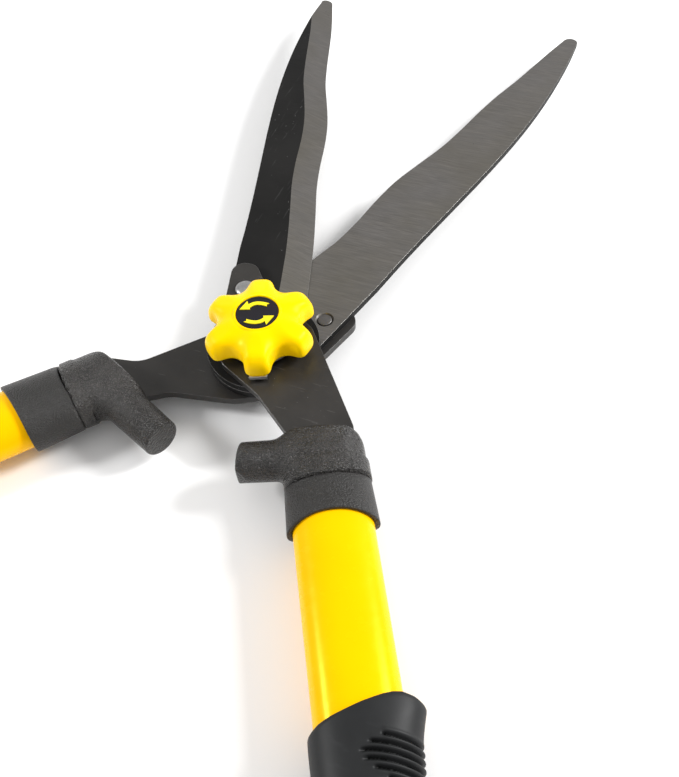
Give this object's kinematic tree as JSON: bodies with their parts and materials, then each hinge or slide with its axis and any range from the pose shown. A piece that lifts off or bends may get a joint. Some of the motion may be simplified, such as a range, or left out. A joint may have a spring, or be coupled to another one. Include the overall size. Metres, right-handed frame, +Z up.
{
  "type": "grass shears",
  "caption": "Two-handed grass and hedge shears with wavy blades, a screw-down tension knob, bumper stops and oval tube handles with soft grips.",
  "frame": {"origin": "on the pivot axis, in the middle of the pivot bolt head's flat underside", "axes": "+Z up along the pivot bolt towards the tension knob, +Y between the two open blades from the pivot towards their tips, +X towards the right-hand handle"},
  "size_m": [0.403, 0.5045, 0.0332],
  "materials": {
    "blade_a": "black oxide coated steel with a ground grey bevel",
    "blade_b": "ground steel, dull grey",
    "rivet_steel": "satin",
    "tang_paint": "glossy black paint",
    "bumper_plastic": "pebbled",
    "ferrule_plastic": "fine texture",
    "screw_steel": "zinc plated",
    "tube_paint": "glossy yellow paint",
    "plug_plastic": "satin",
    "grip_rubber": "satin soft grip",
    "cap_plastic": "satin",
    "bolt_steel": "zinc plated",
    "washer_steel": "bright zinc plated",
    "knob_plastic": "glossy yellow",
    "insert_brass": "machined",
    "disc_plastic": "semi-gloss black",
    "arrow_plastic": "printed yellow"
  },
  "bodies": {
    "lower_half": {"blade_b": "blade_b", "blade_rivet_b": "rivet_steel", "tang_b": "tang_paint", "bumper_b": "bumper_plastic", "ferrule_b": "ferrule_plastic", "handle_screw_b": "screw_steel", "tube_b": "tube_paint", "tube_plug_b": "plug_plastic", "grip_b": "grip_rubber", "grip_cap_b": "cap_plastic", "pivot_bolt": "bolt_steel", "head_washer": "bolt_steel", "pivot_bush": "bolt_steel"},
    "upper_half": {"blade_a": "blade_a", "blade_rivet_a": "rivet_steel", "tang_a": "tang_paint", "bumper_a": "bumper_plastic", "ferrule_a": "ferrule_plastic", "handle_screw_a": "screw_steel", "tube_a": "tube_paint", "tube_plug_a": "plug_plastic", "grip_a": "grip_rubber", "grip_cap_a": "cap_plastic", "spring_washer": "bolt_steel"},
    "washer": {"flat_washer": "washer_steel"},
    "knob": {"knob": "knob_plastic", "knob_insert": "insert_brass", "knob_disc": "disc_plastic", "knob_arrow_1": "arrow_plastic", "knob_arrow_2": "arrow_plastic"}
  },
  "joints": [
    {"name": "blade_pivot", "type": "hinge", "parent": "lower_half", "child": "upper_half", "pos_m": [0, 0, 0], "axis": [0, 0, 1], "range_deg": [-35.5, 45]},
    {"name": "knob_lift", "type": "slide", "parent": "lower_half", "child": "washer", "axis": [0, 0, 1], "range_m": [0, 0.00125]},
    {"name": "knob_turn", "type": "hinge", "parent": "washer", "child": "knob", "pos_m": [0, 0, 0], "axis": [0, 0, 1], "range_deg": [0, 360]}
  ],
  "couplings": [
    {"joint": "knob_lift", "follows": "knob_turn", "m_per_rad": 0.00019894}
  ]
}
